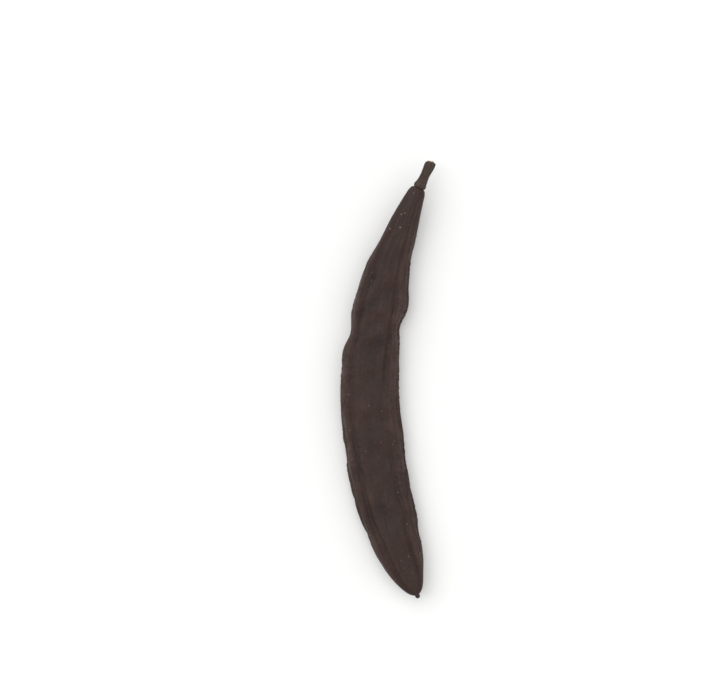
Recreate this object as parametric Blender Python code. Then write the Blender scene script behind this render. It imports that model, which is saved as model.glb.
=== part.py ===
"""A dry carob pod lying on its flat side, with the stub of its stalk. Metres, +Z up, tip towards -Y.

Both pieces are skins over rings. Each ring is a cross-section carried along one curved middle line,
which starts at the tip, runs through the pod's neck and goes on through the stalk. Places along the
pod are given as a share of its length, and places across it as a share of its half width.
"""

import math

import bmesh
import bpy
import numpy as np

# The pod's driving dimensions
POD_LENGTH = 0.150
POD_WIDTH = 0.0205
BODY_THICKNESS = 0.0072
NECK_WIDTH = 0.0054
NECK_THICKNESS = 0.0050
NECK_ROUND = 0.0008
SHOULDER_LENGTH = 0.0022
BEAK_LENGTH = 0.0014
BEAK_WIDTH = 0.0017

# How the middle line bends in plan, and how its ends lift off the floor and twist
HALF_BEND = math.radians(24)
BEND_SPREAD = 2.0
LOWEST_AT = 0.46
END_LIFT = 0.0032
LIFT_POWER = 2.2
END_TWIST = math.radians(5)

# The outline in plan and edge-on: how blunt its curves run to the tip and to the neck
WIDEST_AT = 0.40
PLAN_BLUNTNESS = (2.15, 2.3)
EDGE_BLUNTNESS = (2.6, 3.4)

# The section is a superellipse of this exponent, which falls to a plain round one at the neck
SQUARENESS = 3.1
ROUND_FROM = 0.80

# The outline's swells: side (-1 outer margin, 1 inner), share of the length, reach, rise
OUTLINE_SWELLS = (
    (-1, 0.800, 0.028, 0.0005),
    (-1, 0.635, 0.030, -0.0012),
    (-1, 0.590, 0.025, 0.0004),
    (-1, 0.460, 0.030, 0.0004),
    (-1, 0.360, 0.035, -0.0006),
    (1, 0.845, 0.024, -0.0004),
    (1, 0.722, 0.042, 0.0012),
    (1, 0.662, 0.026, -0.0010),
    (1, 0.530, 0.070, -0.0007),
    (1, 0.450, 0.030, -0.0004),
    (1, 0.190, 0.060, 0.0006),
)
OUTLINE_WAVE = 0.00020

# The rims along the outer and the inner margin: rise, place, spread, and how far they wander and change
RIM_RISE = (0.00130, 0.00090)
RIM_AT = (0.86, 0.76)
RIM_SPREAD = (0.11, 0.17)
RIM_WANDER = 0.025
RIM_CHANGE = 0.20

# The valleys beside the rims. Each closes in part once along the pod, at its gap
VALLEY_DEPTH = 0.00050
VALLEY_AT = (0.62, 0.55)
VALLEY_SPREAD = 0.08
VALLEY_WANDER = 0.045
GAP_AT = (0.52, 0.42)
GAP_REACH = (0.14, 0.08)
GAP_CLOSED = 0.8

# The hollow along the middle of each face
DISH_DEPTH = 0.00050
DISH_REACH = 0.50

# The swells over the seeds: a slanted row, from one share of the length to another
SEED_RISE = 0.00052
SEED_PITCH = 0.0118
SEED_SLANT = 0.28
SEED_REACH = 0.42
SEED_PEAK = 1.4
SEED_STRAY = 0.12
SEED_SIZE = 0.75
SEED_CHANGE = 0.35
SEEDS_FROM = (0.07, 0.14)
SEEDS_TO = (0.84, 0.92)

# Across each margin, from the seam in its middle: height over the seam, half width, rise
SEAM_PROFILE = (
    (0.0, 0.00050, -0.00060),
    (0.00125, 0.00065, 0.00030),
    (0.00235, 0.00050, -0.00025),
)
SEAM_WANDER = 0.00035

# Creases that run along the skin, shallow in the middle of a face, and broad shallow dents
CREASE_DEPTH = 0.00032
CREASE_WIDTH = 0.42
CREASE_ON_FACE = 0.25
CREASE_WAVES = {"turns": (4, 9), "cycles": 3.2, "waves": 14}
DENT_DEPTH = 0.00014
DENT_WAVES = {"turns": (0, 4), "cycles": 13, "waves": 16}

# The stalk: distances from the pod's neck and radii, from the peg in the neck to the broken end
STALK_PROFILE = (
    (-0.0026, 0.00110),
    (0.0003, 0.00110),
    (0.0003, 0.00180),
    (0.0008, 0.00222),
    (0.0014, 0.00225),
    (0.0021, 0.00190),
    (0.0032, 0.00165),
    (0.0050, 0.00156),
    (0.0068, 0.00166),
    (0.0084, 0.00184),
    (0.0094, 0.00182),
    (0.0100, 0.00156),
    (0.0102, 0.00100),
)
SOCKET_RADIUS = 0.00145
SOCKET_DEPTH = 0.0030
STALK_SIDES = 18
STALK_FLUTES = 5
FLUTE_DEPTH = 0.00013
FLUTE_TURN = 90
FLUTED_FROM = (0.0014, 0.0032)
STALK_BREAK = 0.00025

# How finely the skins are cut, and how deep the pod's underside is pressed flat
BODY_RINGS = 108
ROUND_RINGS = 5
POD_SIDES = 50
TIP_CROWDING = 0.55
MARGIN_CROWDING = 2.6
REST_FLAT = 0.00055

# Seeds of the random draws
WAVE_SEEDS = (12, 13)
RIM_SEEDS = (14, 16)
VALLEY_SEED = 15
SWELL_SEEDS = (17, 18)
CREASE_SEED = 19
DENT_SEED = 20
SEAM_SEED = 21
BREAK_SEED = 22


def bell(x):
    """1 at 0, falling smoothly to nothing by about 2."""
    return np.exp(-(x**2))


def ease(x, start, end):
    """0 before start, 1 after end, smooth between."""
    share = np.clip((x - start) / (end - start), 0, 1)
    return share * share * (3 - 2 * share)


def wander(along, waves, seed):
    """A smooth wavering line of about unit size: a few sine waves with seeded phases."""
    draw = np.random.default_rng(seed)
    total = np.zeros_like(along)
    for wave in range(1, waves + 1):
        pace = wave * draw.uniform(0.8, 1.2)
        total += np.sin(math.tau * (pace * along + draw.random())) / math.sqrt(wave)
    return total / 1.5


def field(along, around, turns, cycles, waves, seed):
    """Unit noise on the skin: waves with seeded directions, each closed around the section.

    A wave makes a whole number of turns around the section, between the two given, and up to the
    given number of cycles along the pod.
    """
    draw = np.random.default_rng(seed)
    total = np.zeros_like(along + around)
    for _ in range(waves):
        wave_turns = draw.integers(turns[0], turns[1] + 1)
        wave_cycles = draw.uniform(-cycles, cycles)
        total += np.cos(math.tau * (wave_turns * around + wave_cycles * along + draw.random()))
    return total / math.sqrt(waves / 2)


def heading_at(distances):
    """The middle line's direction in plan, as an angle from +Y towards +X."""
    from_middle = distances / POD_LENGTH - 0.5
    return HALF_BEND * np.sin(BEND_SPREAD * from_middle) / math.sin(BEND_SPREAD / 2)


def middle_line(distances):
    """Points, directions and sideways vectors of the middle line at these distances from the tip."""
    fine = np.linspace(-0.1 * POD_LENGTH, 1.15 * POD_LENGTH, 2501)
    step = fine[1] - fine[0]
    x = np.cumsum(np.sin(heading_at(fine))) * step
    y = np.cumsum(np.cos(heading_at(fine))) * step
    share = distances / POD_LENGTH
    lift = END_LIFT * np.abs(2 * (share - LOWEST_AT)) ** LIFT_POWER
    points = np.stack([np.interp(distances, fine, x), np.interp(distances, fine, y), lift], axis=-1)
    turn = heading_at(distances)
    forward = np.stack([np.sin(turn), np.cos(turn), np.zeros_like(turn)], axis=-1)
    twist = END_TWIST * (2 * share - 1) ** 3
    side = np.stack([np.cos(turn) * np.cos(twist), -np.sin(turn) * np.cos(twist), np.sin(twist)], axis=-1)
    return points, forward, side


def placed(distances, across, up):
    """Section points carried to their places on the middle line."""
    points, forward, side = middle_line(distances)
    over = np.cross(side, forward)
    return points[:, None] + across[..., None] * side[:, None] + up[..., None] * over[:, None]


def section(angles, half_width, half_thick, squareness):
    """A superellipse: across and up from its centre."""
    cosine, sine = np.cos(angles), np.sin(angles)
    power = 2 / squareness
    across = half_width * np.sign(cosine) * np.abs(cosine) ** power
    up = half_thick * np.sign(sine) * np.abs(sine) ** power
    return across, up


def even_angles(sides):
    """Angles of the widest section that space its points evenly, but closer around the margins."""
    angles = np.linspace(0, math.tau, 4001)
    x, z = section(angles, POD_WIDTH / 2, BODY_THICKNESS / 2, SQUARENESS)
    run = np.concatenate([[0], np.cumsum(np.hypot(np.diff(x), MARGIN_CROWDING * np.diff(z)))])
    return np.interp(np.arange(sides) / sides * run[-1], run, angles)


def ring_distances():
    """Distances of the pod's rings from its tip: round the beak, along the body, over the neck's shoulder."""
    quarter = np.linspace(0, math.pi / 2, ROUND_RINGS + 1)[1:]
    beak = BEAK_WIDTH / 2 * (1 - np.cos(quarter))
    even = np.linspace(0, 1, BODY_RINGS)[1:]
    crowded = (1 - TIP_CROWDING) * even + TIP_CROWDING * even**2
    body = beak[-1] + (POD_LENGTH - SHOULDER_LENGTH - beak[-1]) * crowded
    shoulder = POD_LENGTH - SHOULDER_LENGTH * (1 - np.sin(quarter))
    return np.concatenate([beak, body, shoulder])


def taper(distances, full, neck, bluntness):
    """Half of a breadth along the pod: a beak, a round tip, the full body and a slow fall to the neck."""
    blunt_tip, blunt_neck = bluntness
    beak_half = BEAK_WIDTH / 2
    nose = np.clip(1 - distances / beak_half, 0, 1)
    beak_part = beak_half * np.sqrt(1 - nose**2)
    widest = WIDEST_AT * POD_LENGTH
    to_tip = np.clip((widest - distances) / (widest - BEAK_LENGTH), 0, 1)
    to_neck = np.clip((distances - widest) / (POD_LENGTH - widest), 0, 1)
    tip_part = full / 2 * (1 - to_tip**blunt_tip) ** (1 / blunt_tip)
    neck_part = neck / 2 + (full - neck) / 2 * (1 - to_neck**blunt_neck)
    body = np.where(distances < widest, tip_part, neck_part)
    rounded = np.clip((distances - POD_LENGTH + SHOULDER_LENGTH) / SHOULDER_LENGTH, 0, 1)
    return np.hypot(body, beak_part) - NECK_ROUND * (1 - np.sqrt(1 - rounded**2))


def outline(share, half_width):
    """The half width towards the outer and the inner margin, with the outline's waves and swells."""
    fade = ease(share, 0.02, 0.12) * (1 - ease(share, 0.88, 0.97))
    halves = []
    for side, seed in zip((-1, 1), WAVE_SEEDS):
        change = OUTLINE_WAVE * wander(share, 9, seed)
        for swell_side, at, reach, rise in OUTLINE_SWELLS:
            if swell_side == side:
                change = change + rise * bell((share - at) / reach)
        halves.append(half_width + fade * change)
    return halves


def margin_relief(share, across, up, half_thick):
    """Rims and valleys along both margins, less the dish between them, and the seam's grooves."""
    out = np.abs(across)
    outer = across < 0
    rim_at = np.where(outer, *RIM_AT) + RIM_WANDER * wander(share, 7, RIM_SEEDS[0])
    rim_size = np.where(outer, *RIM_RISE) * (1 + RIM_CHANGE * wander(share, 9, RIM_SEEDS[1]))
    rim = rim_size * bell((out - rim_at) / np.where(outer, *RIM_SPREAD))

    gap = bell((share - np.where(outer, *GAP_AT)) / np.where(outer, *GAP_REACH))
    valley_at = np.where(outer, *VALLEY_AT) + VALLEY_WANDER * wander(share, 8, VALLEY_SEED)
    valley = VALLEY_DEPTH * (1 - GAP_CLOSED * gap) * bell((out - valley_at) / VALLEY_SPREAD)
    dish = DISH_DEPTH * bell(out / DISH_REACH)

    from_seam = np.abs(up * half_thick - SEAM_WANDER * wander(share, 8, SEAM_SEED))
    seam = sum(rise * bell((from_seam - at) / spread) for at, spread, rise in SEAM_PROFILE)
    return rim - valley - dish + seam * ease(out, 0.80, 0.95)


def seed_relief(share, across):
    """A slanted swell over each seed, of uneven size and spacing."""
    row = share * POD_LENGTH / SEED_PITCH
    phase = row + SEED_SLANT * across + SEED_STRAY * wander(share, 6, SWELL_SEEDS[0])
    swell = (0.5 + 0.5 * np.cos(math.tau * phase)) ** SEED_PEAK
    size = SEED_SIZE + SEED_CHANGE * wander(share, 9, SWELL_SEEDS[1])
    seeded = ease(share, *SEEDS_FROM) * (1 - ease(share, *SEEDS_TO))
    return SEED_RISE * size * seeded * swell * bell(across / SEED_REACH)


def crease_relief(share, around, across):
    """Creases that deepen towards the margins, and broad dents."""
    line = bell(field(share, around, **CREASE_WAVES, seed=CREASE_SEED) / CREASE_WIDTH)
    depth = CREASE_DEPTH * (CREASE_ON_FACE + (1 - CREASE_ON_FACE) * ease(np.abs(across), 0.40, 0.75))
    return DENT_DEPTH * field(share, around, **DENT_WAVES, seed=DENT_SEED) - depth * line


def pod_rings():
    """The pod's rings, from the first one behind the tip to the neck's end, as (rings, sides, 3)."""
    distance = ring_distances()[:, None]
    share = distance / POD_LENGTH
    angles = even_angles(POD_SIDES)[None, :]
    around = (np.arange(POD_SIDES) / POD_SIDES)[None, :]

    half_width = taper(distance, POD_WIDTH, NECK_WIDTH, PLAN_BLUNTNESS)
    half_thick = taper(distance, BODY_THICKNESS, NECK_THICKNESS, EDGE_BLUNTNESS)
    squareness = SQUARENESS - (SQUARENESS - 2) * ease(share, ROUND_FROM, 1.0)
    across, up = section(angles, 1.0, 1.0, squareness)
    outer_half, inner_half = outline(share, half_width)
    reach = np.where(across < 0, outer_half, inner_half)

    height = margin_relief(share, across, up, half_thick)
    height = height + seed_relief(share, across) + crease_relief(share, around, across)
    height = height * ease(half_width, 0, POD_WIDTH / 2)
    normal_across = np.sign(across) * np.abs(across) ** (squareness - 1) / reach
    normal_up = np.sign(up) * np.abs(up) ** (squareness - 1) / half_thick
    size = np.hypot(normal_across, normal_up)
    x = across * reach + height * normal_across / size
    z = up * half_thick + height * normal_up / size
    return placed(distance[:, 0], x, z)


def socket_rings():
    """The wall of the blind hole in the neck, from its mouth to its bottom."""
    distances = np.array([POD_LENGTH, POD_LENGTH - SOCKET_DEPTH])
    angles = np.tile(even_angles(POD_SIDES), (2, 1))
    return placed(distances, SOCKET_RADIUS * np.cos(angles), SOCKET_RADIUS * np.sin(angles))


def skin(name, rings, start, end):
    """An object whose skin runs over the rings and closes to a point at each end."""
    mesh = bpy.data.meshes.new(name)
    cage = bmesh.new()
    loops = [[cage.verts.new(point) for point in ring] for ring in rings]
    count = len(loops[0])
    for first, second in zip(loops, loops[1:]):
        for i in range(count):
            j = (i + 1) % count
            cage.faces.new((first[i], first[j], second[j], second[i]))
    for point, loop in ((start, loops[0]), (end, loops[-1])):
        pole = cage.verts.new(point)
        for i in range(count):
            cage.faces.new((loop[i], loop[(i + 1) % count], pole))
    bmesh.ops.recalc_face_normals(cage, faces=cage.faces)
    cage.to_mesh(mesh)
    cage.free()
    mesh.shade_smooth()
    mesh.set_sharp_from_angle(angle=math.radians(75))
    obj = bpy.data.objects.new(name, mesh)
    bpy.context.scene.collection.objects.link(obj)
    return obj


def make_pod():
    """The fruit body, with a blind socket in its neck for the stalk's peg."""
    ends = np.array([0.0, POD_LENGTH - SOCKET_DEPTH])
    tip, bottom = middle_line(ends)[0]
    return skin("pod", np.concatenate([pod_rings(), socket_rings()]), tip, bottom)


def make_stalk():
    """The stub of the fruit stalk: a peg, a ring, a slim fluted shank and a swollen broken end."""
    along, radii = np.array(STALK_PROFILE).T[..., None]
    angles = np.arange(STALK_SIDES) / STALK_SIDES * math.tau
    flute = FLUTE_DEPTH * ease(along, *FLUTED_FROM) * np.cos(STALK_FLUTES * angles + FLUTE_TURN * along)
    distances = POD_LENGTH + along[:, 0]
    rings = placed(distances, (radii + flute) * np.cos(angles), (radii + flute) * np.sin(angles))

    points, forward, _ = middle_line(distances)
    ragged = np.random.default_rng(BREAK_SEED).uniform(-1, 1, (STALK_SIDES, 1))
    rings[-1] += STALK_BREAK * ragged * forward[-1]
    return skin("stalk", rings, points[0], points[-1] + STALK_BREAK * forward[-1])


def lay_down(pod, stalk):
    """Sets the pod on the floor with its lowest spots pressed flat, over the middle of the origin."""
    low = min(vertex.co.z for vertex in pod.data.vertices) + REST_FLAT
    corners = [vertex.co for obj in (pod, stalk) for vertex in obj.data.vertices]
    middle = [(min(c[i] for c in corners) + max(c[i] for c in corners)) / 2 for i in (0, 1)]
    for obj in (pod, stalk):
        for vertex in obj.data.vertices:
            x, y, z = vertex.co
            vertex.co = (x - middle[0], y - middle[1], max(z - low, 0))


def paint(obj, colour, roughness):
    """A plain non-metal finish."""
    material = bpy.data.materials.new(obj.name)
    material.use_nodes = True
    shader = material.node_tree.nodes["Principled BSDF"]
    shader.inputs["Base Color"].default_value = (*colour, 1)
    shader.inputs["Roughness"].default_value = roughness
    shader.inputs["Metallic"].default_value = 0
    obj.data.materials.append(material)


for old in list(bpy.data.objects):
    bpy.data.objects.remove(old, do_unlink=True)
pod = make_pod()
stalk = make_stalk()
lay_down(pod, stalk)
paint(pod, colour=(0.045, 0.026, 0.021), roughness=0.42)
paint(stalk, colour=(0.115, 0.080, 0.055), roughness=0.80)
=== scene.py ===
# A dry carob pod on a pale table, seen from straight above.
import math

import bpy
import numpy as np
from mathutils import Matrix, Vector


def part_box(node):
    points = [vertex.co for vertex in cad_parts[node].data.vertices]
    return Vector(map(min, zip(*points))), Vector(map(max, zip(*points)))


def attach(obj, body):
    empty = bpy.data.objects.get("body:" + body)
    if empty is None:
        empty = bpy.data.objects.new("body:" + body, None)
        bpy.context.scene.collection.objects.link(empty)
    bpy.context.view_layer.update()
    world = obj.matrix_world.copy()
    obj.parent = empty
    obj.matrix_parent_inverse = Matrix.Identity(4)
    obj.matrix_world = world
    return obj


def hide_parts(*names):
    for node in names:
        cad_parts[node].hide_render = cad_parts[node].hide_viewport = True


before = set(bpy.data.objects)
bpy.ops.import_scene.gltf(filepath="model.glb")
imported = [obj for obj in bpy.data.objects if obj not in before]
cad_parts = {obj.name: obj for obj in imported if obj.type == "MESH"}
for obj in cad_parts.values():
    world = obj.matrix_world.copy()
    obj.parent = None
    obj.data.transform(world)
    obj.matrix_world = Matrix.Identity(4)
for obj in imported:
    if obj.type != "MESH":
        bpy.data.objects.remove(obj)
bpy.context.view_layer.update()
turn = 2 * math.pi
print("frame loaded:", sorted(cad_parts))


# Small shapes that the formulas below are made of

def bell(x):
    # e to the minus x squared: 1 at 0, nothing by about 2
    return np.exp(-(x ** 2))


def ease(x, start, end):
    # 0 before start, 1 after end, and 3s^2 - 2s^3 between them
    s = np.clip((x - start) / (end - start), 0, 1)
    return s * s * (3 - 2 * s)


def wander(along, waves, seed):
    # a wavering line of about unit height: sines of 1, 2, 3 ... cycles, each up to a fifth faster or
    # slower and over the root of its number, with seeded phases
    draw = np.random.default_rng(seed)
    total = np.zeros_like(along)
    for wave in range(1, waves + 1):
        pace = wave * draw.uniform(0.8, 1.2)
        total += np.sin(turn * (pace * along + draw.random())) / math.sqrt(wave)
    return total / 1.5


def wanderPair(along, waves, seeds):
    # two wavering lines, each with its own number of waves and seed
    return [wander(along, count, seed) for count, seed in zip(waves, seeds)]


def weave(along, around, turns, cycles, waves, seed):
    # unit noise that closes around the section: so many cosines, each of whole turns around it, between
    # two numbers, and of up to so many cycles along it
    draw = np.random.default_rng(seed)
    total = np.zeros_like(along + around)
    for _ in range(waves):
        waveTurns = draw.integers(turns[0], turns[1] + 1)
        waveCycles = draw.uniform(-cycles, cycles)
        total += np.cos(turn * (waveTurns * around + waveCycles * along + draw.random()))
    return total / math.sqrt(waves / 2)


def crack(noise, reach):
    # a furrow along the lines where the noise is zero: (1 - |noise| / reach) squared
    return (1 - np.clip(np.abs(noise) / reach, 0, 1)) ** 2


def strengthAt(out, onFace, onRim, start, end):
    # one strength on the face and another on the rim, eased between two places across the pod
    return onFace + (onRim - onFace) * ease(out, start, end)


# The pod. Lengths in metres, angles in degrees. Places along it are shares of its length, and places
# across it shares of its half width. Pairs are for the outer and the inner margin. A weave gives turns,
# cycles, waves and seed, and a strength what strengthAt asks for.
pod = {
    "length": 0.150, "width": 0.0205, "thickness": 0.0072,
    "neckWidth": 0.0054, "neckThickness": 0.0050, "neckRound": 0.0008, "shoulder": 0.0022,
    "beakLength": 0.0014, "beakWidth": 0.0017,
    "halfBend": 24, "bendSpread": 2.0,
    "lineReach": (-0.1, 1.15), "linePoints": 2501,   # how far past its ends the middle line is worked out
    "lowestAt": 0.46, "endLift": 0.0032, "liftPower": 2.2, "endTwist": 5,
    "widestAt": 0.40, "planBluntness": (2.15, 2.3), "edgeBluntness": (2.6, 3.4),
    "squareness": 3.1, "roundFrom": 0.80,
    "outlineWave": 0.00020, "outlineWaves": 9, "outlineSeeds": (12, 13),
    "outlineFades": ((0.02, 0.12), (0.88, 0.97)),   # where the outline's waves and swells begin and end
    "swells": (                          # side, place, reach and rise of the outline's own swells
        (-1, 0.800, 0.028, 0.0005), (-1, 0.635, 0.030, -0.0012), (-1, 0.590, 0.025, 0.0004),
        (-1, 0.460, 0.030, 0.0004), (-1, 0.360, 0.035, -0.0006),
        (1, 0.845, 0.024, -0.0004), (1, 0.722, 0.042, 0.0012), (1, 0.662, 0.026, -0.0010),
        (1, 0.530, 0.070, -0.0007), (1, 0.450, 0.030, -0.0004), (1, 0.190, 0.060, 0.0006),
    ),
    "rim": {"rise": (0.00130, 0.00090), "at": (0.86, 0.76), "spread": (0.11, 0.17),
            "wander": 0.025, "change": 0.20, "waves": (7, 9), "seeds": (14, 16)},
    "valley": {"depth": 0.00050, "at": (0.62, 0.55), "spread": 0.08, "wander": 0.045, "waves": 8, "seed": 15,
               "gapAt": (0.52, 0.42), "gapReach": (0.14, 0.08), "gapClosed": 0.8},
    "dish": {"depth": 0.00050, "reach": 0.50},
    "seeds": {"rise": 0.00052, "pitch": 0.0118, "slant": 0.28, "reach": 0.42, "peak": 1.4, "stray": 0.12,
              "size": 0.75, "change": 0.35, "from": (0.07, 0.14), "to": (0.84, 0.92),
              "waves": (6, 9), "seeds": (17, 18)},
    "seam": {                            # profile: distance from its line, spread and rise of each groove
        "profile": ((0.0, 0.00050, -0.00060), (0.00125, 0.00065, 0.00030), (0.00235, 0.00050, -0.00025)),
        "from": (0.80, 0.95), "wander": 0.00035, "waves": 8, "seed": 21,
    },
    "crease": {"depth": 0.00032, "width": 0.42, "strength": (0.25, 1, 0.40, 0.75),
               "weave": ((4, 9), 3.2, 14, 19)},
    "dent": {"depth": 0.00014, "weave": ((0, 4), 13, 16, 20)},
    "restFlat": 0.00055, "socketRadius": 0.00145, "socketDepth": 0.0030,
    "rings": 590, "endRings": 8, "sides": 160, "tipCrowding": 0.45,
    "crowding": 2.0,                     # how much closer its points stand around the margins
    "cadCrowding": 2.6,                  # the same in the CAD solid, whose relief is placed by its points
    "wayPoints": 4001,                   # angles at which the way around a section is measured
}


def headingAt(distance):
    # the middle line's direction in plan, from +Y towards +X: a sine of the distance from its middle
    fromMiddle = distance / pod["length"] - 0.5
    spread = pod["bendSpread"]
    return math.radians(pod["halfBend"]) * np.sin(spread * fromMiddle) / math.sin(spread / 2)


def middleLine(distance):
    # the heading summed up into x and y, with a lift that grows towards both ends, and a side that twists
    first, last = pod["lineReach"]
    fine = np.linspace(first * pod["length"], last * pod["length"], pod["linePoints"])
    step = fine[1] - fine[0]
    x = np.interp(distance, fine, np.cumsum(np.sin(headingAt(fine))) * step)
    y = np.interp(distance, fine, np.cumsum(np.cos(headingAt(fine))) * step)
    share = distance / pod["length"]
    lift = pod["endLift"] * np.abs(2 * (share - pod["lowestAt"])) ** pod["liftPower"]
    heading = headingAt(distance)
    twist = math.radians(pod["endTwist"]) * (2 * share - 1) ** 3
    forward = np.stack([np.sin(heading), np.cos(heading), 0 * heading], axis=-1)
    level = np.cos(twist)
    side = np.stack([np.cos(heading) * level, -np.sin(heading) * level, np.sin(twist)], axis=-1)
    return np.stack([x, y, lift], axis=-1), forward, side


def placed(distance, across, up):
    # section points carried to their place on the middle line
    point, forward, side = middleLine(distance)
    over = np.cross(side, forward)
    return point[:, None] + across[..., None] * side[:, None] + up[..., None] * over[:, None]


def section(angle, squareness):
    # a superellipse of half size 1: cosine and sine, each to the power 2 / squareness
    power = 2 / squareness
    across = np.sign(np.cos(angle)) * np.abs(np.cos(angle)) ** power
    return across, np.sign(np.sin(angle)) * np.abs(np.sin(angle)) ** power


def walkAround(crowding):
    # angles around the widest section, and the share of the way around, with steps up counted for more
    angle = np.linspace(0, turn, pod["wayPoints"])
    across, up = section(angle, pod["squareness"])
    stepX = np.diff(across) * pod["width"] / 2
    stepZ = np.diff(up) * pod["thickness"] / 2
    run = np.concatenate([[0], np.cumsum(np.hypot(stepX, crowding * stepZ))])
    return angle, run / run[-1]


def taper(distance, full, neck, bluntness):
    # half a breadth: a superellipse to the tip, a slow fall to the neck, and a small beak added by hypotenuse
    beakHalf = pod["beakWidth"] / 2
    beak = beakHalf * np.sqrt(1 - np.clip(1 - distance / beakHalf, 0, 1) ** 2)
    widest = pod["widestAt"] * pod["length"]
    toTip = np.clip((widest - distance) / (widest - pod["beakLength"]), 0, 1)
    toNeck = np.clip((distance - widest) / (pod["length"] - widest), 0, 1)
    tipPart = full / 2 * (1 - toTip ** bluntness[0]) ** (1 / bluntness[0])
    neckPart = neck / 2 + (full - neck) / 2 * (1 - toNeck ** bluntness[1])
    body = np.where(distance < widest, tipPart, neckPart)
    rounded = np.clip((distance - pod["length"] + pod["shoulder"]) / pod["shoulder"], 0, 1)
    return np.hypot(body, beak) - pod["neckRound"] * (1 - np.sqrt(1 - rounded ** 2))


def marginReach(share, halfWidth, across):
    # the half width on each side, with slow waves and the outline's own swells
    begins, ends = pod["outlineFades"]
    fade = ease(share, *begins) * (1 - ease(share, *ends))
    halves = []
    for side, seed in zip((-1, 1), pod["outlineSeeds"]):
        change = pod["outlineWave"] * wander(share, pod["outlineWaves"], seed)
        for swellSide, at, reach, rise in pod["swells"]:
            if swellSide == side:
                change = change + rise * bell((share - at) / reach)
        halves.append(halfWidth + fade * change)
    return np.where(across < 0, *halves)


def marginRelief(share, across, up, halfThick):
    # a bell for each rim, less one for the valley beside it and one for the dish of the face, and the seam
    rim, valley, dish, seam = pod["rim"], pod["valley"], pod["dish"], pod["seam"]
    out = np.abs(across)
    outer = across < 0
    placeWaves, riseWaves = wanderPair(share, rim["waves"], rim["seeds"])
    rimAt = np.where(outer, *rim["at"]) + rim["wander"] * placeWaves
    rimRise = np.where(outer, *rim["rise"]) * (1 + rim["change"] * riseWaves)
    height = rimRise * bell((out - rimAt) / np.where(outer, *rim["spread"]))

    gap = bell((share - np.where(outer, *valley["gapAt"])) / np.where(outer, *valley["gapReach"]))
    valleyWaves = wander(share, valley["waves"], valley["seed"])
    valleyAt = np.where(outer, *valley["at"]) + valley["wander"] * valleyWaves
    depth = valley["depth"] * (1 - valley["gapClosed"] * gap)
    height = height - depth * bell((out - valleyAt) / valley["spread"])
    height = height - dish["depth"] * bell(out / dish["reach"])

    fromSeam = np.abs(up * halfThick - seam["wander"] * wander(share, seam["waves"], seam["seed"]))
    grooves = sum(rise * bell((fromSeam - at) / spread) for at, spread, rise in seam["profile"])
    return height + grooves * ease(out, *seam["from"])


def seedRelief(share, across):
    # a cosine wave along the pod, slanted across it and raised to a power, under a bell across the face
    seeds = pod["seeds"]
    placeWaves, sizeWaves = wanderPair(share, seeds["waves"], seeds["seeds"])
    phase = share * pod["length"] / seeds["pitch"] + seeds["slant"] * across
    phase = phase + seeds["stray"] * placeWaves
    swell = (0.5 + 0.5 * np.cos(turn * phase)) ** seeds["peak"]
    size = seeds["size"] + seeds["change"] * sizeWaves
    seeded = ease(share, *seeds["from"]) * (1 - ease(share, *seeds["to"]))
    return seeds["rise"] * size * seeded * swell * bell(across / seeds["reach"])


def creaseRelief(share, around, across):
    # bells along the zero lines of one woven noise, deeper near the margins, and a second one as dents
    crease, dent = pod["crease"], pod["dent"]
    line = bell(weave(share, around, *crease["weave"]) / crease["width"])
    deeper = strengthAt(np.abs(across), *crease["strength"])
    dents = dent["depth"] * weave(share, around, *dent["weave"])
    return dents - crease["depth"] * deeper * line


# What drying does to the rind: depths and rises in metres. Shifted is how much of the shift moves each
# pattern, along the pod and around it, and a reach is how wide its furrows are.
wrinkles = {
    # furrows along the pod, 3 to 6 mm apart, deepest by the margins
    "long": {"depth": 0.00014, "reach": 0.55, "strength": (0.30, 1, 0.3, 0.75),
             "weave": ((7, 15), 5, 22, 42), "shifted": (1, 1)},
    # short slanting ones, about 4 mm apart
    "slant": {"depth": 0.00010, "reach": 0.55, "strength": (1, 0.4, 0.5, 0.9),
              "weave": ((4, 16), 34, 26, 43), "shifted": (1, 0)},
    # a fine net of both, about 1.5 mm apart
    "net": {"depth": 0.000065, "reach": 0.50, "betweenPatches": 0.4,
            "weave": ((6, 36), 85, 40, 46), "shifted": (1, 0.5)},
    # puckers across the rims, about 1.5 mm apart
    "ripple": {"rise": 0.000060, "strength": (0.2, 1, 0.55, 0.85),
               "weave": ((0, 12), 95, 30, 44), "shifted": (0.3, 0)},
    "lumps": {"rise": 0.00005, "weave": ((2, 12), 24, 26, 45), "shifted": (0, 0)},
    "shift": {"by": 0.012, "weave": ((1, 5), 14, 12, 40)},
    "patches": {"fade": (-0.9, 0.9), "weave": ((0, 4), 9, 12, 41)},
}


def fineRelief(share, around, across):
    # cracks of woven noises of falling size, all shifted about by a slower one, and left out in patches
    out = np.abs(across)
    shift = wrinkles["shift"]["by"] * weave(share, around, *wrinkles["shift"]["weave"])
    patchy = ease(weave(share, around, *wrinkles["patches"]["weave"]), *wrinkles["patches"]["fade"])
    kinds = [wrinkles[name] for name in ("long", "slant", "net", "ripple", "lumps")]
    patterns = [
        weave(share + kind["shifted"][0] * shift, around + kind["shifted"][1] * shift, *kind["weave"])
        for kind in kinds
    ]
    long, slant, net, ripple, lumps = kinds
    height = -long["depth"] * crack(patterns[0], long["reach"]) * strengthAt(out, *long["strength"])
    slants = slant["depth"] * crack(patterns[1], slant["reach"]) * patchy
    height = height - slants * strengthAt(out, *slant["strength"])
    spared = net["betweenPatches"]
    height = height - net["depth"] * crack(patterns[2], net["reach"]) * (spared + (1 - spared) * patchy)
    height = height + ripple["rise"] * patterns[3] * strengthAt(out, *ripple["strength"]) * patchy
    return height + lumps["rise"] * patterns[4]


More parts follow.
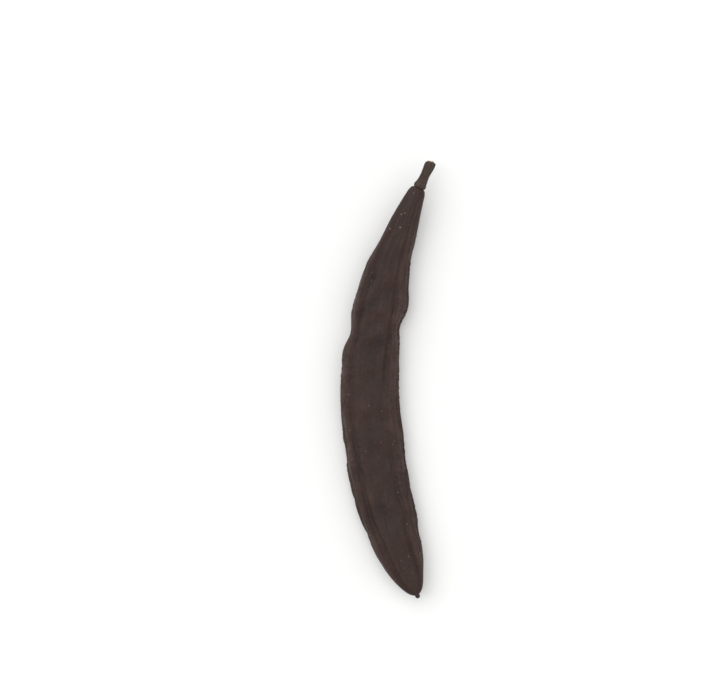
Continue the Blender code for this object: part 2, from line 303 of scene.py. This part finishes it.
def podRings():
    # distances from the tip: round the beak, along the body and over the neck's shoulder
    quarter = np.linspace(0, math.pi / 2, pod["endRings"] + 1)[1:]
    beak = pod["beakWidth"] / 2 * (1 - np.cos(quarter))
    even = np.linspace(0, 1, pod["rings"] - 2 * pod["endRings"] + 1)[1:]
    crowded = (1 - pod["tipCrowding"]) * even + pod["tipCrowding"] * even ** 2
    body = beak[-1] + (pod["length"] - pod["shoulder"] - beak[-1]) * crowded
    shoulder = pod["length"] - pod["shoulder"] * (1 - np.sin(quarter))
    return np.concatenate([beak, body, shoulder])


def podSkin():
    # superellipse sections along the tapers, pushed out along their own normals by the relief
    distance = podRings()[:, None]
    share = distance / pod["length"]
    angles, walk = walkAround(pod["crowding"])
    angle = np.interp(np.arange(pod["sides"]) / pod["sides"], walk, angles)[None, :]
    around = np.interp(angle, *walkAround(pod["cadCrowding"]))
    halfWidth = taper(distance, pod["width"], pod["neckWidth"], pod["planBluntness"])
    halfThick = taper(distance, pod["thickness"], pod["neckThickness"], pod["edgeBluntness"])
    squareness = pod["squareness"] - (pod["squareness"] - 2) * ease(share, pod["roundFrom"], 1.0)
    across, up = section(angle, squareness)
    reach = marginReach(share, halfWidth, across)
    normalX = np.sign(across) * np.abs(across) ** (squareness - 1) / reach
    normalZ = np.sign(up) * np.abs(up) ** (squareness - 1) / halfThick
    size = np.hypot(normalX, normalZ)
    fade = ease(halfWidth, 0, pod["width"] / 2)
    ridges = fade * (marginRelief(share, across, up, halfThick) + creaseRelief(share, around, across))
    main = ridges + fade * seedRelief(share, across)
    fine = fade * fineRelief(share, around, across)
    skins = []
    for height in (main, main + fine):
        x = across * reach + height * normalX / size
        z = up * halfThick + height * normalZ / size
        skins.append((x, z))
    return distance, angle, skins, ridges, fine


def gridMesh(name, rings, start, end, attributes, strips):
    # quads between neighbouring rings, and a fan of triangles to a pole at each end
    count, sides = rings.shape[:2]
    points = np.concatenate([rings.reshape(-1, 3), [start, end]])
    i, j = np.meshgrid(np.arange(count - 1), np.arange(sides), indexing="ij")
    here, beside = i * sides + j, i * sides + (j + 1) % sides
    quads = np.stack([here, here + sides, beside + sides, beside], axis=-1).reshape(-1, 4)
    first = np.arange(sides)
    second = (first + 1) % sides
    last = (count - 1) * sides
    startFan = np.stack([np.full(sides, count * sides), first, second], axis=-1)
    endFan = np.stack([np.full(sides, count * sides + 1), last + second, last + first], axis=-1)
    mesh = bpy.data.meshes.new(name)
    mesh.from_pydata(points, [], quads.tolist() + startFan.tolist() + endFan.tolist())
    for title, values in attributes.items():
        kind, field = ("FLOAT_VECTOR", "vector") if values.ndim == 3 else ("FLOAT", "value")
        flat = values.reshape(count * sides, -1)
        poles = np.stack([flat[:sides].mean(axis=0), flat[-sides:].mean(axis=0)])
        layer = mesh.attributes.new(title, kind, "POINT")
        layer.data.foreach_set(field, np.concatenate([flat, poles]).astype(np.float32).ravel())
    layUv(mesh, count, sides, strips)
    mesh.shade_smooth()
    mesh.update()
    piece = bpy.data.objects.new(name, mesh)
    bpy.context.scene.collection.objects.link(piece)
    return piece


uvMargin = 0.004                         # left free at both sides of a strip, as a share of its width


def layUv(mesh, count, sides, strips):
    # the skin slit along one side, cut across into equal strips of rings, and laid side by side
    rows = count + 1                     # rows of faces, with the two fans
    perStrip = math.ceil(rows / strips)
    row = np.arange(-1, count)
    strip = (row + 1) // perStrip
    low = ((row + 1) - strip * perStrip) / perStrip
    high = low + 1 / perStrip

    def corners(k, across, above):
        # one corner of every face in these rows: across 0 to 1 over a face, above 0 or 1
        column = (np.arange(sides) + across) / sides
        u = (strip[k][:, None] + uvMargin + (1 - 2 * uvMargin) * column[None, :]) / strips
        v = np.where(above, high[k], low[k])[:, None] + 0 * u
        return np.stack([u, v], axis=-1)

    body = slice(1, rows - 1)
    first, last = slice(0, 1), slice(rows - 1, rows)
    quads = np.stack([corners(body, 0, False), corners(body, 0, True),
                      corners(body, 1, True), corners(body, 1, False)], axis=2)
    startFan = np.stack([corners(first, 0.5, False), corners(first, 0, True),
                         corners(first, 1, True)], axis=2)
    endFan = np.stack([corners(last, 0.5, True), corners(last, 1, False),
                       corners(last, 0, False)], axis=2)
    flat = np.concatenate([part.reshape(-1) for part in (quads, startFan, endFan)])
    mesh.uv_layers.new(name="OFBake").data.foreach_set("uv", flat.astype(np.float32))


def makePod():
    # the skin and the wall of the socket in its neck as one run of rings, closed at the tip and the bottom
    distance, angle, skins, ridges, fine = podSkin()
    plain, skin = [placed(distance[:, 0], x, z) for x, z in skins]
    holeX = np.repeat(pod["socketRadius"] * np.cos(angle), 2, axis=0)
    holeZ = np.repeat(pod["socketRadius"] * np.sin(angle), 2, axis=0)
    bottomAt = pod["length"] - pod["socketDepth"]
    socket = placed(np.array([pod["length"], bottomAt]), holeX, holeZ)

    # the plain skin's box lies over the CAD node's, and its lowest spots are pressed flat in the same way
    low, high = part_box("pod")
    middle = (plain.reshape(-1, 3).min(axis=0) + plain.reshape(-1, 3).max(axis=0)) / 2
    offset = np.array([(low.x + high.x) / 2, (low.y + high.y) / 2, 0]) - middle
    offset[2] = -(plain[..., 2].min() + pod["restFlat"])
    rings = np.concatenate([skin, socket]) + offset
    rings[..., 2] = np.maximum(rings[..., 2], 0)
    tip = middleLine(np.array([0.0]))[0][0] + offset
    bottom = middleLine(np.array([bottomAt]))[0][0] + offset

    # for the material: the place on the pod if it were straight, and two of its reliefs in millimetres, which
    # the rind's tone turns into painted highlight on the rims and painted shade in the valleys, creases and
    # furrows
    straight = np.stack([skins[1][0], skins[1][1], distance + 0 * angle], axis=-1)
    attributes = {"straight": straight, "paintedFormShading": ridges * 1000, "paintedWrinkleShade": fine * 1000}
    for title, values in attributes.items():
        attributes[title] = np.concatenate([values, np.repeat(values[-1:], 2, axis=0)])
    piece = gridMesh("carobPod", rings, tip, bottom, attributes, strips=2)
    print("pod skin:", len(rings), "rings of", pod["sides"], "points")
    return piece, offset


# The stalk: distance from the neck's end and radius, from the peg in the neck to the middle of the break
stalk = {
    "profile": (
        (-0.0026, 0.00110), (-0.0001, 0.00110), (-0.0001, 0.00165), (0.0004, 0.00205), (0.0008, 0.00222),
        (0.0014, 0.00225), (0.0021, 0.00190), (0.0032, 0.00165), (0.0050, 0.00156), (0.0068, 0.00166),
        (0.0084, 0.00184), (0.0094, 0.00182), (0.0100, 0.00160), (0.0102, 0.00125), (0.0102, 0.00006),
    ),
    "rings": 220, "sides": 96, "smoothing": 9,
    "flutes": 5, "fluteDepth": 0.00013, "fluteTurn": 90, "flutedFrom": (0.0014, 0.0032),
    "fibreDepth": 0.00006, "fibreLength": 0.02, "fibreWeave": ((9, 23), 2, 24, 70),
    "breakAt": 0.0094, "breakFrom": (0.00165, 0.0012),   # past it, bark turns to wood between two radii
    "breakSlant": 0.00035, "slantFrom": (0.0070, 0.0100), "slantRadius": 0.0018,
    "splinter": 0.00012, "splinterSize": (0.0016, 0.0004), "splinterWaves": 40, "splinterSeed": 71,
}


def makeStalk(offset):
    # the profile's points joined by straight runs, read at even steps and rounded by a moving average
    profile = np.array(stalk["profile"])
    run = np.concatenate([[0], np.cumsum(np.hypot(*np.diff(profile, axis=0).T))])
    steps = np.linspace(0, run[-1], stalk["rings"])
    average = np.ones(stalk["smoothing"]) / stalk["smoothing"]
    along, radius = [
        np.convolve(np.pad(np.interp(steps, run, values), stalk["smoothing"] // 2, "edge"), average, "valid")
        for values in profile.T
    ]
    along, radius = along[:, None], radius[:, None]

    # flutes and fibres run along it, and fade out towards the middle of the break
    around = (np.arange(stalk["sides"]) / stalk["sides"])[None, :]
    angle = turn * around
    flute = stalk["fluteDepth"] * np.cos(stalk["flutes"] * angle + stalk["fluteTurn"] * along)
    fibre = weave(along / stalk["fibreLength"], around, *stalk["fibreWeave"])
    barkEnds, woodStarts = stalk["breakFrom"]
    bare = (along > stalk["breakAt"]) * ease(-radius, -barkEnds, -woodStarts)
    relief = ease(along, *stalk["flutedFrom"]) * (flute + stalk["fibreDepth"] * fibre) * (1 - bare)
    x, z = (radius + relief) * np.cos(angle), (radius + relief) * np.sin(angle)

    # the break: a slanted end, with splinters from cosine waves that cross it in seeded directions, each
    # finer and lower than the one before it
    draw = np.random.default_rng(stalk["splinterSeed"])
    splinter = 0
    for size in np.geomspace(*stalk["splinterSize"], stalk["splinterWaves"]):
        waveX, waveZ = draw.normal(size=2) * turn / size
        share = size / stalk["splinterSize"][0]
        splinter = splinter + share * np.cos(waveX * x + waveZ * z + turn * draw.random()) / 2
    lengthen = ease(along, *stalk["slantFrom"]) * stalk["breakSlant"] * (x / stalk["slantRadius"])
    lengthen = lengthen + bare * stalk["splinter"] * splinter
    distance = pod["length"] + along[:, 0]
    points, forward, _ = middleLine(distance)
    rings = placed(distance, x, z) + lengthen[..., None] * forward[:, None] + offset
    start, end = points[0] + offset, rings[-1].mean(axis=0)
    straight = np.stack([x, z, along + lengthen], axis=-1)
    attributes = {"straight": straight, "broken": bare + 0 * angle}
    piece = gridMesh("stalkStub", rings, start, end, attributes, strips=1)
    print("stalk:", stalk["rings"], "rings of", stalk["sides"], "points")
    return piece


podPiece, offset = makePod()
stalkPiece = makeStalk(offset)


# Materials

def linear(code):
    # an sRGB hex colour as linear light: (c + 0.055) / 1.055 to the power 2.4, or c / 12.92 when dark
    values = [int(code[i:i + 2], 16) / 255 for i in (1, 3, 5)]
    return tuple(c / 12.92 if c <= 0.04045 else ((c + 0.055) / 1.055) ** 2.4 for c in values) + (1.0,)


def addNode(tree, kind, sockets=None, out=0, **settings):
    # a node with its settings, and each socket given a value or a link; gives back one of its outputs
    node = tree.nodes.new("ShaderNode" + kind)
    for field, value in settings.items():
        setattr(node, field, value)
    for socket, value in (sockets or {}).items():
        if isinstance(value, bpy.types.NodeSocket):
            tree.links.new(value, node.inputs[socket])
        else:
            node.inputs[socket].default_value = value
    return node.outputs[out]


def newMaterial(name):
    material = bpy.data.materials.new(name)
    material.use_nodes = True
    return material, material.node_tree, material.node_tree.nodes["Principled BSDF"]


def addRamp(tree, value, stops):
    # colours by place, from the first stop to the last
    colour = addNode(tree, "ValToRGB", {"Fac": value})
    elements = colour.node.color_ramp.elements
    for k, (position, code) in enumerate(stops):
        element = elements[k] if k < 2 else elements.new(position)
        element.position, element.color = position, linear(code)
    return colour


# Patterns in millimetres, across and along the pod; depths in metres. The rind's own grain and pores are
# about 0.1 mm, and are drawn as coarse as they need to be to show.
rind = {
    "tones": ((0.30, "#1D110E"), (0.80, "#45312B"), (0.52, "#301C16")),   # darkest, reached by painted shade in the furrows; palest, reached by painted highlight on the rims; most of the skin
    "toneBase": 0.175,
    # the last two shares turn relief height into painted shading: painted highlight on the raised rims,
    # painted shade in the valleys, creases and furrows
    "toneShares": {"blotch": 0.24, "streak": 0.12, "grain": 0.34, "paintedFormShading": 0.11, "paintedWrinkleShade": 0.6},
    "blotch": (12.0, 12.0), "streak": (0.7, 16.0), "grain": (0.45, 0.6),
    "dust": "#A8957F", "dustShown": 0.7, "faintest": 0.25,
    "ragged": (0.25, 0.0005),            # size in millimetres and shift in metres of the marks' ragged edges
    "markEdge": 0.04, "markRoughness": 0.3,
    "marks": (                           # spacing, radius in shares of the spacing, share that shows, turn
        ((1.5, 1.5), (0.02, 0.16), 0.50, (0, 0, 0)),          # specks
        ((2.2, 9.0), (0.02, 0.07), 0.30, (0.3, 0.9, 0.2)),    # scuffs
    ),
    "pebble": (0.9, 1.9), "pebbleDepth": 0.00012,
    "pore": (0.28, 0.28), "poreDepth": 0.0001, "streakDepth": 0.00003,
    "gloss": (6.0, 6.0), "glossNoise": (0.3, 0.7), "roughness": (0.43, 0.58), "ior": 1.38,
}


def scaleOf(across, along):
    # a Mapping node's scale that makes one unit of a pattern this many millimetres across and along the pod
    return (1000 / across, 1000 / across, 1000 / along)


def carobRind():
    # Dried carob rind: tough and leathery, dark brown, with a satin waxy gloss broken by fine pebbling
    material, tree, shader = newMaterial("driedCarobRind")
    straight = addNode(tree, "Attribute", attribute_name="straight", out="Vector")
    paintedFormShading = addNode(tree, "Attribute", attribute_name="paintedFormShading", out="Fac")
    paintedWrinkleShade = addNode(tree, "Attribute", attribute_name="paintedWrinkleShade", out="Fac")
    place = addNode(tree, "TexCoord", out="Object")

    def pattern(kind, spacing, start=straight, turned=(0, 0, 0), **sockets):
        # a texture over the straightened pod, at this spacing in millimetres
        vector = addNode(tree, "Mapping", {"Vector": start, "Rotation": turned, "Scale": scaleOf(*spacing)})
        return addNode(tree, "Tex" + kind, {"Vector": vector, "Scale": 1.0, **sockets})

    def addShare(value, factor, base):
        return addNode(tree, "Math", {0: value, 1: factor, 2: base}, operation="MULTIPLY_ADD")

    # tone: blotches, streaks and grain, with painted highlight making the rims paler and painted shade making
    # the valleys, creases and furrows darker
    shares = rind["toneShares"]
    blotch = pattern("Noise", rind["blotch"], Detail=4.0, Roughness=0.6)
    streak = pattern("Noise", rind["streak"], Detail=3.0, Roughness=0.6)
    grain = pattern("Noise", rind["grain"], Detail=2.0)
    tone = addShare(blotch, shares["blotch"], rind["toneBase"])
    tone = addShare(streak, shares["streak"], tone)
    tone = addShare(grain, shares["grain"], tone)
    # painted highlight and painted shade: relief height raises the tone on the rims and lowers it in the
    # valleys, creases and furrows
    tone = addShare(paintedFormShading, shares["paintedFormShading"], tone)
    tone = addShare(paintedWrinkleShade, shares["paintedWrinkleShade"], tone)
    colour = addRamp(tree, tone, rind["tones"])

    # pale marks: the middles of some cells, of a size and strength that each cell draws, with ragged edges
    size, shift = rind["ragged"]
    bend = addNode(tree, "TexNoise", {"Vector": place, "Scale": 1000 / size, "Detail": 2.0}, out="Color")
    ragged = addNode(tree, "VectorMath", {0: bend, 1: (shift, shift, shift), 2: straight},
                     operation="MULTIPLY_ADD")
    mark = 0.0
    for spacing, radius, shown, turned in rind["marks"]:
        cells = pattern("Voronoi", spacing, ragged, turned)
        luck = addNode(tree, "SeparateColor", {"Color": cells.node.outputs["Color"]})
        picked = addNode(tree, "Math", {0: luck, 1: 1 - shown}, operation="GREATER_THAN")
        reach = addNode(tree, "MapRange", {"Value": luck.node.outputs["Green"], "To Min": radius[0],
                                           "To Max": radius[1]})
        within = addNode(tree, "Math", {0: reach, 1: cells}, operation="SUBTRACT")
        strength = addNode(tree, "MapRange", {"Value": luck.node.outputs["Blue"], "To Min": rind["faintest"]})
        edge = addNode(tree, "MapRange", {"Value": within, "From Max": rind["markEdge"], "To Max": strength})
        spot = addNode(tree, "Math", {0: edge, 1: picked}, operation="MULTIPLY")
        mark = addNode(tree, "Math", {0: mark, 1: spot}, operation="MAXIMUM")
    pale = addNode(tree, "Math", {0: mark, 1: rind["dustShown"]}, operation="MULTIPLY")
    colour = addNode(tree, "Mix", {"Factor": pale, 6: colour, 7: linear(rind["dust"])}, out=2,
                     data_type="RGBA")

    # bump: pores, pebbling like leather's, and faint fibres along the pod
    pores = pattern("Noise", rind["pore"], Detail=2.0)
    pebbles = pattern("Voronoi", rind["pebble"], ragged)
    relief = addNode(tree, "Bump", {"Height": pores, "Strength": 1.0, "Distance": rind["poreDepth"]})
    relief = addNode(tree, "Bump", {"Height": pebbles, "Strength": 1.0, "Distance": rind["pebbleDepth"],
                                    "Normal": relief}, invert=True)
    relief = addNode(tree, "Bump", {"Height": streak, "Strength": 1.0, "Distance": rind["streakDepth"],
                                    "Normal": relief})

    # gloss: slow changes of roughness, and duller marks
    low, high = rind["glossNoise"]
    smooth, rough = rind["roughness"]
    gloss = pattern("Noise", rind["gloss"], Detail=3.0)
    gloss = addNode(tree, "MapRange", {"Value": gloss, "From Min": low, "From Max": high,
                                       "To Min": smooth, "To Max": rough})
    gloss = addShare(mark, rind["markRoughness"], gloss)
    tree.links.new(colour, shader.inputs["Base Color"])
    tree.links.new(gloss, shader.inputs["Roughness"])
    tree.links.new(relief, shader.inputs["Normal"])
    shader.inputs["IOR"].default_value = rind["ior"]
    return material


# Patterns in millimetres, across and along the stalk; depths in metres. The fibres of the wood are about
# 0.1 mm thick, and are drawn as coarse as they need to be to show.
bark = {
    "tones": ((0.36, "#2B2019"), (0.66, "#4A382C")), "wood": ((0.36, "#4E3C2C"), (0.62, "#9A8060")),
    "fibre": (0.33, 2.9), "fibreDepth": 0.0001, "grain": (0.22, 0.22), "grainDepth": 0.00008,
    "roughness": 0.78,
}


def stalkBark():
    # Dry woody stalk: matt, fibrous bark, and paler torn wood at the break
    material, tree, shader = newMaterial("dryStalkBark")
    straight = addNode(tree, "Attribute", attribute_name="straight", out="Vector")
    broken = addNode(tree, "Attribute", attribute_name="broken", out="Fac")
    stretched = addNode(tree, "Mapping", {"Vector": straight, "Scale": scaleOf(*bark["fibre"])})
    fibre = addNode(tree, "TexNoise", {"Vector": stretched, "Scale": 1.0, "Detail": 5.0, "Roughness": 0.65})
    scaled = addNode(tree, "Mapping", {"Vector": straight, "Scale": scaleOf(*bark["grain"])})
    grain = addNode(tree, "TexNoise", {"Vector": scaled, "Scale": 1.0, "Detail": 3.0})
    rough = addRamp(tree, fibre, bark["tones"])
    wood = addRamp(tree, grain, bark["wood"])
    colour = addNode(tree, "Mix", {"Factor": broken, 6: rough, 7: wood}, data_type="RGBA", out=2)
    relief = addNode(tree, "Bump", {"Height": fibre, "Strength": 1.0, "Distance": bark["fibreDepth"]})
    relief = addNode(tree, "Bump", {"Height": grain, "Strength": broken, "Distance": bark["grainDepth"],
                                    "Normal": relief})
    tree.links.new(colour, shader.inputs["Base Color"])
    tree.links.new(relief, shader.inputs["Normal"])
    shader.inputs["Roughness"].default_value = bark["roughness"]
    return material


for piece, node, slot, material in (
    (podPiece, "pod", "pod_skin", carobRind()),
    (stalkPiece, "stalk", "stalk_wood", stalkBark()),
):
    piece.data.materials.append(material)
    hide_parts(node)
    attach(piece, "root")
print("materials made")


# Table, light and camera
studio = {
    "floorSize": 8.0, "floor": "#F6F6F5", "floorRoughness": 0.9,
    "horizon": 1.0, "zenith": 0.35,      # the room's brightness, low down and straight up
    "fades": (0.10, 0.65),               # between these heights, as sines of the angle above the floor
    "lights": (                          # name, where from, width as an angle in degrees, strength
        ("key", (-0.50, 0.40, 0.90), 75, 1.8),
        ("fill", (0.60, -0.20, 0.80), 90, 0.9),
    ),
}


def makeStudio():
    half = studio["floorSize"] / 2
    mesh = bpy.data.meshes.new("table")
    corners = [(-half, -half, 0), (half, -half, 0), (half, half, 0), (-half, half, 0)]
    mesh.from_pydata(corners, [], [(0, 1, 2, 3)])
    floor = bpy.data.objects.new("table", mesh)
    bpy.context.scene.collection.objects.link(floor)
    # Matt white laminate: even and without gloss, so only the pod's soft shadow shows on it
    material, tree, shader = newMaterial("mattLaminate")
    shader.inputs["Base Color"].default_value = linear(studio["floor"])
    shader.inputs["Roughness"].default_value = studio["floorRoughness"]
    mesh.materials.append(material)
    for name, place, width, strength in studio["lights"]:
        light = bpy.data.lights.new(name, "SUN")          # as even over the table as a large far softbox
        light.angle, light.energy = math.radians(width), strength
        lamp = bpy.data.objects.new(name, light)
        lamp.location = place
        lamp.rotation_euler = (-Vector(place)).to_track_quat("-Z", "Y").to_euler()
        bpy.context.scene.collection.objects.link(lamp)

    # the room: white all round, brightest low down and dimmer overhead
    world = bpy.data.worlds.new("room")
    world.use_nodes = True
    tree = world.node_tree
    upward = addNode(tree, "SeparateXYZ", {"Vector": addNode(tree, "TexCoord", out="Generated")}, out="Z")
    low, high = studio["fades"]
    bright = addNode(tree, "MapRange", {"Value": upward, "From Min": low, "From Max": high,
                                        "To Min": studio["horizon"], "To Max": studio["zenith"]},
                     interpolation_type="SMOOTHSTEP")
    tree.links.new(bright, tree.nodes["Background"].inputs["Strength"])
    tree.nodes["Background"].inputs["Color"].default_value = (1, 1, 1, 1)
    bpy.context.scene.world = world
    bpy.context.scene.view_settings.view_transform = "Standard"


# The photograph's frame: the scale at the pod, and the pixel where the CAD origin falls
camera = {
    "width": 705, "height": 675, "metresPerPixel": 0.000355, "originPixel": (387.4, 379.5),
    "heightOverPod": 0.90, "sensor": 36.0, "nearest": 0.01,
}


def makeCamera():
    # straight down, with a lens that shows the photograph's frame at half the pod's thickness
    lens = bpy.data.cameras.new("camera")
    lens.sensor_width = camera["sensor"]
    lens.lens = camera["sensor"] * camera["heightOverPod"] / (camera["width"] * camera["metresPerPixel"])
    lens.clip_start = camera["nearest"]
    eye = bpy.data.objects.new("camera", lens)
    x = (camera["width"] / 2 - camera["originPixel"][0]) * camera["metresPerPixel"]
    y = (camera["originPixel"][1] - camera["height"] / 2) * camera["metresPerPixel"]
    eye.location = (x, y, camera["heightOverPod"] + pod["thickness"] / 2)
    bpy.context.scene.collection.objects.link(eye)
    bpy.context.scene.camera = eye


makeStudio()
makeCamera()
print("studio and camera set")
